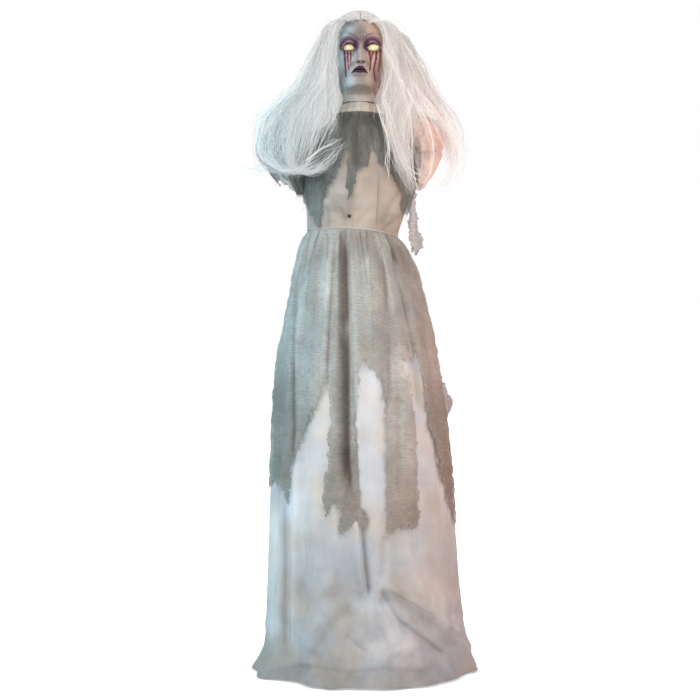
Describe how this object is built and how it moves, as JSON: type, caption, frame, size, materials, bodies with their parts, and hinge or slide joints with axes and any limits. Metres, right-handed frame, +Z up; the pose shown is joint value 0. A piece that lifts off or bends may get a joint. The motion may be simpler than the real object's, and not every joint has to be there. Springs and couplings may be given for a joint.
{
  "type": "animated standing ghost figure",
  "caption": "Life-size standing ghost in a ragged gauze dress, with a motor-turned head, lit eyes and long loose hair, on a plug-together stand.",
  "frame": {"origin": "on the floor, at the centre of the base hub's flat underside, on the axis of the mast and the neck", "axes": "+Z up along the mast, -Y the way the face looks, +X to the right as seen from the front"},
  "size_m": [0.5964, 0.5043, 1.6923],
  "materials": {
    "zinc_steel": "satin",
    "black_plastic": "satin",
    "grey_plastic": "satin",
    "black_rubber": "matte",
    "white_nylon": "satin",
    "pcb_green": "satin",
    "battery_wrap": "gloss",
    "pale_skin": "matte",
    "eye_yellow": "gloss",
    "white_nonwoven": "matte",
    "grey_gauze": "matte",
    "pale_sleeve": "matte",
    "white_hair": "satin"
  },
  "bodies": {
    "stand": {"base_hub": "black_plastic", "leg_1": "zinc_steel", "leg_2": "zinc_steel", "leg_3": "zinc_steel", "leg_4": "zinc_steel", "foot_1": "black_rubber", "foot_2": "black_rubber", "foot_3": "black_rubber", "foot_4": "black_rubber", "mast_lower": "zinc_steel", "mast_middle": "zinc_steel", "mast_upper": "zinc_steel", "hip_hoop": "zinc_steel", "hoop_collar": "black_plastic", "mast_socket": "grey_plastic", "box_front": "black_plastic", "box_rear": "black_plastic", "gear_plate": "zinc_steel", "gear_motor": "zinc_steel", "idler_pin": "zinc_steel", "bush_lower": "white_nylon", "bush_upper": "white_nylon", "circuit_board": "pcb_green", "speaker": "black_plastic", "battery_tray": "black_plastic", "battery_1": "battery_wrap", "battery_2": "battery_wrap", "battery_3": "battery_wrap", "switch_body": "grey_plastic", "sensor_housing": "black_plastic", "sensor_lens": "black_plastic", "arm_left": "zinc_steel", "arm_right": "zinc_steel", "sleeve_left": "pale_sleeve", "sleeve_right": "pale_sleeve", "neck_base": "pale_skin", "bodice": "white_nonwoven", "gauze_shawl": "grey_gauze", "gauze_tail": "grey_gauze", "waistband": "white_nonwoven", "underskirt": "white_nonwoven", "gauze_overskirt": "grey_gauze"},
    "head": {"neck_shaft": "zinc_steel", "output_gear": "white_nylon", "head_hub": "grey_plastic", "head_shell": "pale_skin", "eye_left": "eye_yellow", "eye_right": "eye_yellow", "led_board": "pcb_green", "wig_crown": "white_hair", "hair_left": "white_hair", "hair_right": "white_hair", "hair_back": "white_hair"},
    "idler": {"idler_gear": "white_nylon"},
    "motor_rotor": {"motor_pinion": "white_nylon"},
    "door": {"battery_door": "black_plastic"},
    "switch": {"switch_knob": "white_nylon"}
  },
  "joints": [
    {"name": "head_turn", "type": "hinge", "parent": "stand", "child": "head", "pos_m": [0, 0, 1.455], "axis": [0, 0, 1], "range_deg": [-40, 40], "deforming": ["hair_left", "hair_right", "hair_back"]},
    {"name": "idler_spin", "type": "hinge", "parent": "stand", "child": "idler", "pos_m": [0.03, 0, 1.345], "axis": [0, 0, 1], "range_deg": [-120, 120]},
    {"name": "motor_spin", "type": "hinge", "parent": "stand", "child": "motor_rotor", "pos_m": [0.03, 0.025, 1.345], "axis": [0, 0, 1], "range_deg": [-360, 360]},
    {"name": "battery_door_slide", "type": "slide", "parent": "stand", "child": "door", "axis": [1, 0, 0], "range_m": [0, 0.02]},
    {"name": "power_switch_slide", "type": "slide", "parent": "stand", "child": "switch", "axis": [1, 0, 0], "range_m": [0, 0.004]}
  ],
  "couplings": [
    {"joint": "idler_spin", "follows": "head_turn", "ratio": -3},
    {"joint": "motor_spin", "follows": "head_turn", "ratio": 9}
  ]
}
